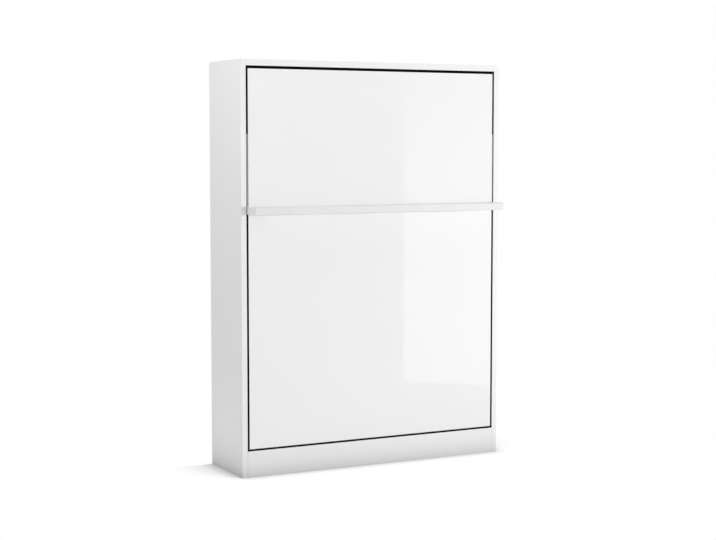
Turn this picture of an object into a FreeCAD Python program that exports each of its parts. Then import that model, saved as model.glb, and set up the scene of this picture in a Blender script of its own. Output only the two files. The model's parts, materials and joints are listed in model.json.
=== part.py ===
"""Cabinet bed: an upright cabinet whose gloss front is the underside of a fold-down double bed.

Millimetres. +X runs to the right seen from the front, +Y into the wall, +Z up from the floor.
The origin lies on the floor, in the middle of the footprint, foot bar included.
"Depth" is the distance behind the cabinet's front plane, and negative depth stands in front of it.
The bed turns about two pivot pins low in the cabinet. A foot frame hangs from the bed, and link rods
keep it upright, so that its bar lies across the closed front and stands on the floor under the open bed.
"""
import FreeCAD, Part
import math
import os

V = FreeCAD.Vector

# Mattress, which the cabinet is sized around
MATTRESS_WIDTH = 1400.0
MATTRESS_LENGTH = 2000.0
MATTRESS_HEIGHT = 170.0
MATTRESS_CORNER = 45.0
MATTRESS_EDGE = 14.0
MATTRESS_SIDE_CLEARANCE = 3.0
MATTRESS_END_CLEARANCE = 1.0
REST_CLEARANCE = 0.3

# Cabinet boards
SIDE_THICKNESS = 30.0
TOP_THICKNESS = 33.0
PLINTH_HEIGHT = 139.0
PLINTH_CLEARANCE = 2.0
PLINTH_JOINT = 0.8
RAIL_THICKNESS = 18.0
REAR_TOP_RAIL_HEIGHT = 160.0
REAR_BOTTOM_RAIL_HEIGHT = 140.0
BACK_THICKNESS = 3.0
BACK_INSET = 6.0
GROOVE_DEPTH = 8.0
GROOVE_CLEARANCE = 0.3
BOARD_EDGE_ROUND = 1.0
BACK_JOINT_WEB = 1.5
JOINT_STRIP_WIDTH = 24.0
JOINT_STRIP_WALL = 1.2
WALL_HOLE_SPACING = 1000.0
WALL_HOLE_RADIUS = 4.5

# Shadow gaps over and under the front, and the black strips that line all of them
TOP_GAP = 14.0
BOTTOM_GAP = 10.0
SEAL_THICKNESS = 1.3
SEAL_SETBACK = 0.8
SEAL_WIDTH = 15.0
SEAL_LIP_SHARE = 0.55

# Stop rail under the top panel, with rubber buffers
STOP_RAIL_CLEARANCE = 6.0
STOP_RAIL_THICKNESS = 18.0
STOP_BUFFER_THICKNESS = 2.2
STOP_BUFFER_RADIUS = 4.0
STOP_BUFFER_COUNT = 4

# Bed box: the front that is also the bed's floor, and the four boards round the mattress
FRONT_THICKNESS = 18.0
EDGE_BAND = 1.0
BAND_EDGE_ROUND = 0.8
BOX_BOARD_THICKNESS = 16.0
BOX_BOARD_HEIGHT = 132.0
HEAD_CLEARANCE = 84.0
FOOT_CLEARANCE = 29.0
SWEEP_CLEARANCE = 16.5

# Slatted base
BATTEN_WIDTH = 20.0
BATTEN_HEIGHT = 20.0
CENTRE_BEAM_WIDTH = 40.0
SLAT_COUNT = 14
SLAT_WIDTH = 53.0
SLAT_THICKNESS = 8.0
SLAT_BOW = 6.0
HOLDER_LENGTH = 35.0
HOLDER_WALL = 4.0
HOLDER_SIDE_WALL = 3.0
HOLDER_FIT = 0.2

# Straps that hold the bedding on the mattress
STRAP_WIDTH = 50.0
STRAP_TUCK = 45.0
STRAP_HEIGHT_SHARES = (0.3, 0.72)
BUCKLE_LENGTH = 58.0
BUCKLE_MARGIN = 6.0
BUCKLE_THICKNESS = 4.0
BUCKLE_SLOT = 7.0

# Bed pivot
PIVOT_DEPTH = 62.0
PIVOT_PIN_RADIUS = 8.0
RUNNING_CLEARANCE = 0.05
BUSH_WALL = 3.0
BUSH_FLANGE = 1.5
BUSH_FLANGE_RADIUS = 14.0
PIVOT_BOSS_RADIUS = 12.0
PLATE_THICKNESS = 4.0
PLATE_CORNER = 8.0
PLATE_FRONT_ROOM = 5.0
PIVOT_PLATE_REACH = 45.0
PIVOT_PLATE_HEIGHT = 130.0
BED_PLATE_REACH = 38.0
BED_PLATE_MARGIN = 42.0

# Foot frame: a slim bar that stands off the front, carried by two flat arms in the side gaps
BAR_HEIGHT = 40.0
BAR_DEPTH = 30.0
BAR_WALL = 2.0
BAR_INNER_CORNER = 2.0
BAR_STANDOFF = 81.0
ARM_THICKNESS = 5.0
ARM_INNER_CLEARANCE = 0.5
ARM_OUTER_CLEARANCE = 3.2
ARM_WIDTH = 75.0
ARM_SETBACK = 4.0
ARM_HEAD = 40.0
ARM_HEAD_CORNER = 5.0
ARM_HEEL_CORNER = 30.0
LEG_PIVOT_INSET = 360.0
LEG_PIVOT_RISE = 378.0
LEG_PIN_RADIUS = 6.0
LEG_PIN_HEAD_RADIUS = 10.0
LEG_BOSS_RADIUS = 12.0
LEG_BRACKET_REACH = 35.0
LEG_BRACKET_HEIGHT = 110.0
PAD_THICKNESS = 3.0
PAD_LENGTH = 110.0
PAD_WIDTH = 20.0
PAD_COUNT = 3

# Link rods, parallel to the bed, that keep the foot frame upright
LINK_CLEARANCE = 2.0
LINK_FRONT_CLEARANCE = 1.5
LINK_ROD_RADIUS = 4.0
LINK_STUD_RADIUS = 4.0
LINK_EYE_RADIUS = 8.0
LINK_EYE_THICKNESS = 6.0
LINK_STUD_TAIL = 1.5
OPEN_PIVOT_CLEARANCE = 0.3

# Gas struts
STRUT_SIDE_CLEARANCE = 2.0
STRUT_TOP_BACK = 86.0
STRUT_TOP_RISE = 260.0
STRUT_FOOT_DROP = 134.0
STRUT_RADIUS = 11.0
STRUT_WALL = 2.0
STRUT_ROD_RADIUS = 5.0
STRUT_EYE_RADIUS = 11.0
STRUT_EYE_THICKNESS = 10.0
STRUT_STUD_RADIUS = 5.0
STRUT_STUD_TAIL = 3.0
STRUT_BOSS_RADIUS = 9.0
STRUT_NECK_ROOM = 3.0
STRUT_CAP = 10.0
STRUT_GUIDE = 12.0
STRUT_PISTON = 10.0
STRUT_PISTON_CLEARANCE = 0.1
STRUT_END_ROOM = 6.0
STRUT_BOLT_HEAD_RADIUS = 8.0
STRUT_BOLT_HEAD = 4.0
STRUT_BRACKET_WIDTH = 56.0
STRUT_BRACKET_HEIGHT = 84.0

# Angles between the front and the side boards, screws and cam fittings
ANGLE_LEG = 22.0
ANGLE_DEPTH = 34.0
ANGLE_THICKNESS = 3.0
ANGLE_LENGTH = 60.0
ANGLE_HEIGHT_SHARES = (0.12, 0.5, 0.88)
UPPER_ANGLE_SHARES = (0.5,)
SCREW_RADIUS = 2.5
SCREW_HEAD_RADIUS = 4.5
SCREW_HEAD = 1.8
SCREW_BITE_SHARE = 0.75
SCREW_MARGIN = 14.0
CAM_RADIUS = 7.5
CAM_DEPTH_SHARE = 0.75
CAM_END_DISTANCE = 34.0
CAM_SLOT_WIDTH = 2.0
CAM_SLOT_DEPTH = 3.0
CAM_SPREAD_SHARES = (0.2, 0.8)

OVERRUN = 5.0
SAME_WAY_SHARE = 0.001
SIDES = ((-1, "left"), (1, "right"))

# Thicknesses and offsets that follow from the pieces they clear
PLINTH_THICKNESS = FRONT_THICKNESS - PLINTH_CLEARANCE
STOP_RAIL_HEIGHT = FOOT_CLEARANCE - STOP_RAIL_CLEARANCE
SIDE_GAP = SEAL_THICKNESS + ARM_OUTER_CLEARANCE + ARM_THICKNESS + ARM_INNER_CLEARANCE
SIDE_CAVITY = 2 * (PLATE_THICKNESS + STRUT_SIDE_CLEARANCE + STRUT_RADIUS)
BAR_CORNER = BAR_WALL + BAR_INNER_CORNER
LINK_OFFSET = max(PIVOT_BOSS_RADIUS, LEG_BOSS_RADIUS) + LINK_ROD_RADIUS + LINK_CLEARANCE
LEG_PIVOT_DEPTH = FRONT_THICKNESS + LINK_FRONT_CLEARANCE + LINK_EYE_RADIUS + LINK_OFFSET * math.sqrt(2)
STRUT_NECK = STRUT_BOSS_RADIUS + STRUT_NECK_ROOM
SCREW_BITE = BOX_BOARD_THICKNESS * SCREW_BITE_SHARE
CAM_DEPTH = PLINTH_THICKNESS * CAM_DEPTH_SHARE

# Widths, from the mattress outwards
BOX_INNER_X = MATTRESS_WIDTH / 2 + MATTRESS_SIDE_CLEARANCE
BOX_OUTER_X = BOX_INNER_X + BOX_BOARD_THICKNESS
CABINET_INNER_X = BOX_OUTER_X + SIDE_CAVITY
CABINET_OUTER_X = CABINET_INNER_X + SIDE_THICKNESS
FRONT_X = CABINET_INNER_X - SIDE_GAP
ARM_OUTER_X = CABINET_INNER_X - SEAL_THICKNESS - ARM_OUTER_CLEARANCE
ARM_INNER_X = ARM_OUTER_X - ARM_THICKNESS
BED_PLATE_X = BOX_OUTER_X + PLATE_THICKNESS
CABINET_PLATE_X = CABINET_INNER_X - PLATE_THICKNESS
LINK_X = (BED_PLATE_X + ARM_INNER_X) / 2
STRUT_X = (BED_PLATE_X + CABINET_PLATE_X) / 2
STRUT_EYE_INNER_X = STRUT_X - STRUT_EYE_THICKNESS / 2
STRUT_EYE_OUTER_X = STRUT_X + STRUT_EYE_THICKNESS / 2

# Heights, from the floor up
BOX_BOTTOM = HEAD_CLEARANCE
MATTRESS_BOTTOM = BOX_BOTTOM + BOX_BOARD_THICKNESS + MATTRESS_END_CLEARANCE
MATTRESS_TOP = MATTRESS_BOTTOM + MATTRESS_LENGTH
BOX_TOP = MATTRESS_TOP + MATTRESS_END_CLEARANCE + BOX_BOARD_THICKNESS
TOP_UNDERSIDE = BOX_TOP + FOOT_CLEARANCE
CABINET_HEIGHT = TOP_UNDERSIDE + TOP_THICKNESS
FRONT_BOTTOM = PLINTH_HEIGHT + BOTTOM_GAP
FRONT_TOP = TOP_UNDERSIDE - TOP_GAP
LEG_PIVOT_HEIGHT = BOX_TOP - LEG_PIVOT_INSET
BAR_UNDERSIDE_HEIGHT = LEG_PIVOT_HEIGHT - LEG_PIVOT_RISE
LEG_REACH = LEG_PIVOT_RISE + PAD_THICKNESS
# The open bed lies level when its pivot is as high as the foot frame reaches
PIVOT_HEIGHT = PIVOT_DEPTH + LEG_REACH - LEG_PIVOT_DEPTH

# Depths, from the front plane back
BOX_REAR = FRONT_THICKNESS + BOX_BOARD_HEIGHT
SLAT_SEAT = FRONT_THICKNESS + BATTEN_HEIGHT
SLAT_LOW = SLAT_SEAT + HOLDER_WALL
HOLDER_TOP = SLAT_LOW + SLAT_THICKNESS + HOLDER_WALL
MATTRESS_SEAT = SLAT_LOW + SLAT_THICKNESS + SLAT_BOW + REST_CLEARANCE
MATTRESS_REAR = MATTRESS_SEAT + MATTRESS_HEIGHT
# The mattress corner that swings furthest back sets the cabinet's depth
MATTRESS_SWEEP = math.hypot(MATTRESS_REAR - PIVOT_DEPTH, PIVOT_HEIGHT - MATTRESS_BOTTOM)
BACK_FRONT = PIVOT_DEPTH + MATTRESS_SWEEP + SWEEP_CLEARANCE
BACK_REAR = BACK_FRONT + BACK_THICKNESS
CABINET_DEPTH = BACK_REAR + BACK_INSET
RAIL_FRONT = BACK_FRONT - RAIL_THICKNESS
BAR_REAR = -BAR_STANDOFF
BAR_FRONT = BAR_REAR - BAR_DEPTH

# The front plane's place, which puts the origin in the middle of the footprint
FRONT_Y = -(CABINET_DEPTH + BAR_FRONT) / 2

# Pivot points as (depth, height)
BED_PIVOT = (PIVOT_DEPTH, PIVOT_HEIGHT)
LEG_PIVOT = (LEG_PIVOT_DEPTH, LEG_PIVOT_HEIGHT)
LINK_FOOT = (PIVOT_DEPTH - LINK_OFFSET, PIVOT_HEIGHT - LINK_OFFSET)
LINK_HEAD = (LEG_PIVOT_DEPTH - LINK_OFFSET, LEG_PIVOT_HEIGHT - LINK_OFFSET)
STRUT_TOP = (PIVOT_DEPTH + STRUT_TOP_BACK, PIVOT_HEIGHT + STRUT_TOP_RISE)
STRUT_FOOT = (PIVOT_DEPTH, PIVOT_HEIGHT - STRUT_FOOT_DROP)
STRUT_FOOT_OPEN = (PIVOT_DEPTH + STRUT_FOOT_DROP, PIVOT_HEIGHT)


def place(x, depth, z):
    """Point at a distance behind the cabinet's front plane."""
    return V(x, FRONT_Y + depth, z)


def block(x0, x1, depth0, depth1, z0, z1):
    """Box between two corners."""
    return Part.makeBox(x1 - x0, depth1 - depth0, z1 - z0, place(x0, depth0, z0))


def centred_block(half_x, depth0, depth1, z0, z1):
    """Box that spans the middle plane."""
    return block(-half_x, half_x, depth0, depth1, z0, z1)


def disc_x(x0, x1, point, radius):
    """Round bar along X through a (depth, height) point."""
    return Part.makeCylinder(radius, x1 - x0, place(x0, *point), V(1, 0, 0))


def disc_y(x, depth0, depth1, z, radius):
    """Round bar along Y."""
    return Part.makeCylinder(radius, depth1 - depth0, place(x, depth0, z), V(0, 1, 0))


def mirrored(shape):
    """The left-hand twin of a right-hand shape."""
    return shape.mirror(V(0, 0, 0), V(1, 0, 0))


def on_side(shape, side):
    """A right-hand shape, or its left-hand twin."""
    return shape if side > 0 else mirrored(shape)


def both_sides(shape):
    """A right-hand shape with its twin."""
    return [shape, mirrored(shape)]


def edges_along(shape, axis):
    """Straight edges that run along an axis."""
    found = []
    for edge in shape.Edges:
        run = edge.Vertexes[-1].Point - edge.Vertexes[0].Point
        if run.Length > 0 and run.cross(axis).Length < run.Length * SAME_WAY_SHARE:
            found.append(edge)
    return found


def plate_x(x0, x1, depth0, depth1, z0, z1, corner):
    """Flat plate square to X with rounded corners."""
    plate = block(x0, x1, depth0, depth1, z0, z1)
    return plate.makeFillet(corner, edges_along(plate, V(1, 0, 0)))


def rounded_face(corners):
    """Flat face from (point, radius) corners, each turned as an arc where it has a radius."""
    edges = []
    ends = []
    count = len(corners)
    for index, (point, radius) in enumerate(corners):
        to_last = (corners[index - 1][0] - point).normalize()
        to_next = (corners[(index + 1) % count][0] - point).normalize()
        if radius > 0:
            half = to_last.getAngle(to_next) / 2
            start = point + to_last * (radius / math.tan(half))
            end = point + to_next * (radius / math.tan(half))
            middle_way = (to_last + to_next).normalize()
            bulge = point + middle_way * (radius / math.sin(half) - radius)
            edges.append(Part.Arc(start, bulge, end).toShape())
            ends.append((start, end))
        else:
            ends.append((point, point))
    for index in range(count):
        start, end = ends[index - 1][1], ends[index][0]
        edges.append(Part.LineSegment(start, end).toShape())
    return Part.Face(Part.Wire(Part.__sortEdges__(edges)))


def round_front_edges(board, radius):
    """Small rounding of a board's upright and level front edges."""
    front = [e for e in board.Edges if abs(e.BoundBox.YMax - board.BoundBox.YMin) < radius]
    return board.makeFillet(radius, front)


def evenly(count, low, high):
    """Places of equal spacing, half a space in from both ends."""
    step = (high - low) / count
    return [low + step * (i + 1 / 2) for i in range(count)]


def shares_of(shares, low, high):
    """Places at shares of a span."""
    return [low + (high - low) * share for share in shares]


def screw_x(x_face, point, towards):
    """Screw along X: its head stands off the face and its shank goes the way it is driven."""
    head = disc_x(*sorted((x_face, x_face - towards * SCREW_HEAD)), point, SCREW_HEAD_RADIUS)
    reach = x_face + towards * (SCREW_BITE + PLATE_THICKNESS)
    return head.fuse(disc_x(*sorted((x_face, reach)), point, SCREW_RADIUS))


def plate_corners(depth0, depth1, z0, z1):
    """Screw places near a plate's four corners."""
    depths = (depth0 + SCREW_MARGIN, depth1 - SCREW_MARGIN)
    heights = (z0 + SCREW_MARGIN, z1 - SCREW_MARGIN)
    return [(depth, z) for depth in depths for z in heights]


def drilled(shape, screws):
    """A piece with holes for the screws that reach into it."""
    near = [s for s in screws if s.BoundBox.intersect(shape.BoundBox)]
    return shape.cut(near) if near else shape


def along(start, end, distance):
    """Point on the line between two (depth, height) points."""
    share = distance / math.dist(start, end)
    return (start[0] + (end[0] - start[0]) * share, start[1] + (end[1] - start[1]) * share)


def slanted_bar(x, start, end, radius):
    """Round bar between two (depth, height) points in a plane square to X."""
    run = place(x, *end) - place(x, *start)
    return Part.makeCylinder(radius, run.Length, place(x, *start), run)


# Plate outlines as (depth0, depth1, z0, z1)
PLATE_FRONT = FRONT_THICKNESS + PLATE_FRONT_ROOM
PIVOT_PLATE = (
    PLATE_FRONT,
    PIVOT_DEPTH + PIVOT_PLATE_REACH,
    PIVOT_HEIGHT - PIVOT_PLATE_HEIGHT / 2,
    PIVOT_HEIGHT + PIVOT_PLATE_HEIGHT / 2,
)
BED_PLATE = (
    PLATE_FRONT,
    PIVOT_DEPTH + BED_PLATE_REACH,
    STRUT_FOOT[1] - BED_PLATE_MARGIN,
    PIVOT_HEIGHT + BED_PLATE_MARGIN,
)
STRUT_BRACKET = (
    STRUT_TOP[0] - STRUT_BRACKET_WIDTH / 2,
    STRUT_TOP[0] + STRUT_BRACKET_WIDTH / 2,
    STRUT_TOP[1] - STRUT_BRACKET_HEIGHT / 2,
    STRUT_TOP[1] + STRUT_BRACKET_HEIGHT / 2,
)
LEG_BRACKET = (
    PLATE_FRONT,
    LEG_PIVOT_DEPTH + LEG_BRACKET_REACH,
    LEG_PIVOT_HEIGHT - LEG_BRACKET_HEIGHT / 2,
    LEG_PIVOT_HEIGHT + LEG_BRACKET_HEIGHT / 2,
)
ANGLE_HEIGHTS = shares_of(ANGLE_HEIGHT_SHARES, BED_PLATE[3], LEG_BRACKET[2])
ANGLE_HEIGHTS += shares_of(UPPER_ANGLE_SHARES, LEG_BRACKET[3], BOX_TOP)


def cabinet_screws():
    """Screws that hold the pivot plates and strut brackets to the side panels."""
    screws = []
    for outline in (PIVOT_PLATE, STRUT_BRACKET):
        for point in plate_corners(*outline):
            screws += both_sides(screw_x(CABINET_PLATE_X, point, 1))
    return screws


def bed_screws():
    """Screws that hold the bed plates, leg brackets and angles to the side boards."""
    screws = []
    for outline in (BED_PLATE, LEG_BRACKET):
        for point in plate_corners(*outline):
            screws += both_sides(screw_x(BED_PLATE_X, point, -1))
    for z in ANGLE_HEIGHTS:
        for end in (-1, 1):
            depth = FRONT_THICKNESS + ANGLE_DEPTH - SCREW_MARGIN
            height = z + end * (ANGLE_LENGTH / 2 - SCREW_MARGIN)
            screws += both_sides(screw_x(BOX_OUTER_X + ANGLE_THICKNESS, (depth, height), -1))
    return screws


def cam(centre, into):
    """Round cam fitting let into a board, with a crossed slot in its face."""
    body = Part.makeCylinder(CAM_RADIUS, CAM_DEPTH, centre, into)
    slot_corner = V(-CAM_RADIUS, -CAM_SLOT_WIDTH / 2, 0)
    slot = Part.makeBox(2 * CAM_RADIUS, CAM_SLOT_WIDTH, CAM_SLOT_DEPTH, slot_corner)
    cross = slot.fuse(slot.rotated(V(0, 0, 0), V(0, 0, 1), 90))
    cross.Placement = FreeCAD.Placement(centre, FreeCAD.Rotation(V(0, 0, 1), into))
    return body.cut(cross)


def cam_fittings():
    """Cams near the ends of the top, the plinth and the rear rails."""
    x = CABINET_INNER_X - CAM_END_DISTANCE
    cams = []
    for depth in shares_of(CAM_SPREAD_SHARES, 0, CABINET_DEPTH):
        cams += both_sides(cam(place(x, depth, TOP_UNDERSIDE), V(0, 0, 1)))
    for z in shares_of(CAM_SPREAD_SHARES, 0, PLINTH_HEIGHT):
        cams += both_sides(cam(place(x, PLINTH_THICKNESS, z), V(0, -1, 0)))
    for z in shares_of(CAM_SPREAD_SHARES, 0, REAR_BOTTOM_RAIL_HEIGHT):
        cams += both_sides(cam(place(x, RAIL_FRONT, z), V(0, 1, 0)))
    for z in shares_of(CAM_SPREAD_SHARES, TOP_UNDERSIDE - REAR_TOP_RAIL_HEIGHT, TOP_UNDERSIDE):
        cams += both_sides(cam(place(x, RAIL_FRONT, z), V(0, 1, 0)))
    return cams


def cabinet_boards(screws, cams):
    """Side panels, top, plinth and rear rails."""
    groove_end = CABINET_INNER_X + GROOVE_DEPTH
    groove_top = TOP_UNDERSIDE + GROOVE_DEPTH
    groove = centred_block(
        groove_end, BACK_FRONT - GROOVE_CLEARANCE, BACK_REAR + GROOVE_CLEARANCE, -OVERRUN, groove_top
    )
    pieces = {}
    for side, name in SIDES:
        panel = block(CABINET_INNER_X, CABINET_OUTER_X, 0, CABINET_DEPTH, 0, CABINET_HEIGHT)
        panel = on_side(round_front_edges(panel, BOARD_EDGE_ROUND), side).cut(groove)
        pieces[name + "_side_panel"] = drilled(panel, screws)
    top = centred_block(CABINET_INNER_X, 0, CABINET_DEPTH, TOP_UNDERSIDE, CABINET_HEIGHT)
    pieces["top_panel"] = drilled(round_front_edges(top, BOARD_EDGE_ROUND).cut(groove), cams)
    plinth = centred_block(CABINET_INNER_X - PLINTH_JOINT, 0, PLINTH_THICKNESS, 0, PLINTH_HEIGHT)
    pieces["plinth_panel"] = drilled(round_front_edges(plinth, BOARD_EDGE_ROUND), cams)
    rail_bottom = TOP_UNDERSIDE - REAR_TOP_RAIL_HEIGHT
    rear_top = centred_block(CABINET_INNER_X, RAIL_FRONT, BACK_FRONT, rail_bottom, TOP_UNDERSIDE)
    pieces["rear_top_rail"] = drilled(rear_top.cut(wall_holes()), cams)
    rear_bottom = centred_block(CABINET_INNER_X, RAIL_FRONT, BACK_FRONT, 0, REAR_BOTTOM_RAIL_HEIGHT)
    pieces["rear_bottom_rail"] = drilled(rear_bottom, cams)
    return pieces


def wall_holes():
    """Drills for the two wall anchors, through the rear top rail and the back."""
    z = TOP_UNDERSIDE - REAR_TOP_RAIL_HEIGHT / 2
    depths = (RAIL_FRONT - OVERRUN, BACK_REAR + OVERRUN)
    return [disc_y(side * WALL_HOLE_SPACING / 2, *depths, z, WALL_HOLE_RADIUS) for side, _ in SIDES]


def cabinet_back():
    """Thin back in two halves, held in the grooves and joined by an H strip."""
    pieces = {}
    top = TOP_UNDERSIDE + GROOVE_DEPTH - GROOVE_CLEARANCE
    outer = CABINET_INNER_X + GROOVE_DEPTH - GROOVE_CLEARANCE
    joint = BACK_JOINT_WEB / 2
    half = block(joint, outer, BACK_FRONT, BACK_REAR, 0, top)
    for side, name in SIDES:
        pieces[name + "_back_panel"] = on_side(half, side).cut(wall_holes())
    low = REAR_BOTTOM_RAIL_HEIGHT
    high = TOP_UNDERSIDE - REAR_TOP_RAIL_HEIGHT
    web = centred_block(joint, BACK_FRONT, BACK_REAR, low, high)
    front = centred_block(JOINT_STRIP_WIDTH / 2, BACK_FRONT - JOINT_STRIP_WALL, BACK_FRONT, low, high)
    rear = centred_block(JOINT_STRIP_WIDTH / 2, BACK_REAR, BACK_REAR + JOINT_STRIP_WALL, low, high)
    pieces["back_joint_strip"] = web.fuse([front, rear])
    return pieces


def cabinet_trim():
    """Black strips that line the shadow gaps, and the stop rail with its buffers."""
    seal_depths = (SEAL_SETBACK, SEAL_SETBACK + SEAL_WIDTH)
    low = PLINTH_HEIGHT
    upright = block(CABINET_INNER_X - SEAL_THICKNESS, CABINET_INNER_X, *seal_depths, low, TOP_UNDERSIDE)
    between = CABINET_INNER_X - SEAL_THICKNESS
    over = centred_block(between, *seal_depths, TOP_UNDERSIDE - SEAL_THICKNESS, TOP_UNDERSIDE)
    plinth_depths = (SEAL_SETBACK, PLINTH_THICKNESS)
    under = centred_block(between, *plinth_depths, low, low + SEAL_THICKNESS)
    lip_depths = (PLINTH_THICKNESS - SEAL_THICKNESS, PLINTH_THICKNESS)
    lip = centred_block(between, *lip_depths, low, low + BOTTOM_GAP * SEAL_LIP_SHARE)
    stop_front = FRONT_THICKNESS + REST_CLEARANCE + STOP_BUFFER_THICKNESS
    stop_low = TOP_UNDERSIDE - STOP_RAIL_HEIGHT
    stop_rear = stop_front + STOP_RAIL_THICKNESS
    stop = centred_block(CABINET_INNER_X, stop_front, stop_rear, stop_low, TOP_UNDERSIDE)
    buffer_z = (stop_low + FRONT_TOP) / 2
    buffers = [
        disc_y(x, stop_front - STOP_BUFFER_THICKNESS, stop_front, buffer_z, STOP_BUFFER_RADIUS)
        for x in evenly(STOP_BUFFER_COUNT, -FRONT_X, FRONT_X)
    ]
    return {
        "gap_seals": Part.makeCompound(both_sides(upright) + [over, under.fuse(lip)]),
        "top_stop_rail": stop,
        "stop_buffers": Part.makeCompound(buffers),
    }


def cabinet_fittings(screws):
    """Pivot plates with boss and link stud, pivot pins, and the brackets of the struts."""
    pieces = {}
    plate = plate_x(CABINET_PLATE_X, CABINET_INNER_X, *PIVOT_PLATE, PLATE_CORNER)
    boss_inner = BED_PLATE_X + BUSH_FLANGE + REST_CLEARANCE
    boss = disc_x(boss_inner, CABINET_PLATE_X, BED_PIVOT, PIVOT_BOSS_RADIUS)
    stud_inner = LINK_X - LINK_EYE_THICKNESS / 2 - LINK_STUD_TAIL
    stud = disc_x(stud_inner, CABINET_PLATE_X, LINK_FOOT, LINK_STUD_RADIUS)
    pin = disc_x(BOX_INNER_X, CABINET_INNER_X, BED_PIVOT, PIVOT_PIN_RADIUS)
    pivot_plate = plate.fuse([boss, stud]).cut(pin)
    bracket = plate_x(CABINET_PLATE_X, CABINET_INNER_X, *STRUT_BRACKET, PLATE_CORNER)
    collar = disc_x(STRUT_EYE_OUTER_X + REST_CLEARANCE, CABINET_PLATE_X, STRUT_TOP, STRUT_BOSS_RADIUS)
    stud_end = STRUT_EYE_INNER_X - STRUT_STUD_TAIL
    strut_stud = disc_x(stud_end, CABINET_PLATE_X, STRUT_TOP, STRUT_STUD_RADIUS)
    strut_bracket = bracket.fuse([collar, strut_stud])
    for side, name in SIDES:
        pieces[name + "_pivot_plate"] = drilled(on_side(pivot_plate, side), screws)
        pieces[name + "_pivot_pin"] = on_side(pin, side)
        pieces[name + "_strut_bracket"] = drilled(on_side(strut_bracket, side), screws)
    return pieces


def bed_front():
    """Gloss front board and the black band round its edges."""
    band = centred_block(FRONT_X, 0, FRONT_THICKNESS, FRONT_BOTTOM, FRONT_TOP)
    band = round_front_edges(band, BAND_EDGE_ROUND)
    panel = centred_block(
        FRONT_X - EDGE_BAND, 0, FRONT_THICKNESS, FRONT_BOTTOM + EDGE_BAND, FRONT_TOP - EDGE_BAND
    )
    return {"front_panel": panel, "front_edge_band": band.cut(panel)}


def bed_box(screws):
    """The four boards round the mattress."""
    pieces = {}
    bush_radius = PIVOT_PIN_RADIUS + RUNNING_CLEARANCE + BUSH_WALL
    bush_hole = disc_x(BOX_INNER_X, BOX_OUTER_X, BED_PIVOT, bush_radius)
    leg_pin_hole = disc_x(BOX_INNER_X, BOX_OUTER_X, LEG_PIVOT, LEG_PIN_RADIUS)
    board = block(BOX_INNER_X, BOX_OUTER_X, FRONT_THICKNESS, BOX_REAR, BOX_BOTTOM, BOX_TOP)
    board = board.cut([bush_hole, leg_pin_hole])
    for side, name in SIDES:
        pieces[name + "_side_board"] = drilled(on_side(board, side), screws)
    low = BOX_BOTTOM + BOX_BOARD_THICKNESS
    high = BOX_TOP - BOX_BOARD_THICKNESS
    pieces["head_board"] = centred_block(BOX_INNER_X, FRONT_THICKNESS, BOX_REAR, BOX_BOTTOM, low)
    pieces["foot_board"] = centred_block(BOX_INNER_X, FRONT_THICKNESS, BOX_REAR, high, BOX_TOP)
    return pieces


def panel_angles(screws):
    """Steel angles between the front board and the outer faces of the side boards."""
    angles = []
    for z in ANGLE_HEIGHTS:
        ends = (z - ANGLE_LENGTH / 2, z + ANGLE_LENGTH / 2)
        flat_end = FRONT_THICKNESS + ANGLE_THICKNESS
        upright_end = FRONT_THICKNESS + ANGLE_DEPTH
        flat = block(BOX_OUTER_X, BOX_OUTER_X + ANGLE_LEG, FRONT_THICKNESS, flat_end, *ends)
        upright = block(BOX_OUTER_X, BOX_OUTER_X + ANGLE_THICKNESS, FRONT_THICKNESS, upright_end, *ends)
        angles += [drilled(angle, screws) for angle in both_sides(flat.fuse(upright).removeSplitter())]
    return {"panel_angles": Part.makeCompound(angles)}


def slat(x0, x1, z):
    """Sprung slat: flat where the holders grip it, and bowed towards the mattress between them."""
    low = SLAT_LOW
    high = SLAT_LOW + SLAT_THICKNESS
    grip = HOLDER_LENGTH - HOLDER_WALL
    a, b, middle = x0 + grip, x1 - grip, (x0 + x1) / 2
    edges = [
        Part.LineSegment(place(x0, low, z), place(a, low, z)),
        Part.Arc(place(a, low, z), place(middle, low + SLAT_BOW, z), place(b, low, z)),
        Part.LineSegment(place(b, low, z), place(x1, low, z)),
        Part.LineSegment(place(x1, low, z), place(x1, high, z)),
        Part.LineSegment(place(x1, high, z), place(b, high, z)),
        Part.Arc(place(b, high, z), place(middle, high + SLAT_BOW, z), place(a, high, z)),
        Part.LineSegment(place(a, high, z), place(x0, high, z)),
        Part.LineSegment(place(x0, high, z), place(x0, low, z)),
    ]
    face = Part.Face(Part.Wire([edge.toShape() for edge in edges]))
    return face.extrude(V(0, 0, SLAT_WIDTH))


def slat_pocket(x0, x1, z):
    """Room in a holder for a slat's end."""
    low = SLAT_LOW - HOLDER_FIT
    high = SLAT_LOW + SLAT_THICKNESS + HOLDER_FIT
    return block(x0, x1, low, high, z - HOLDER_FIT, z + SLAT_WIDTH + HOLDER_FIT)


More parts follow.
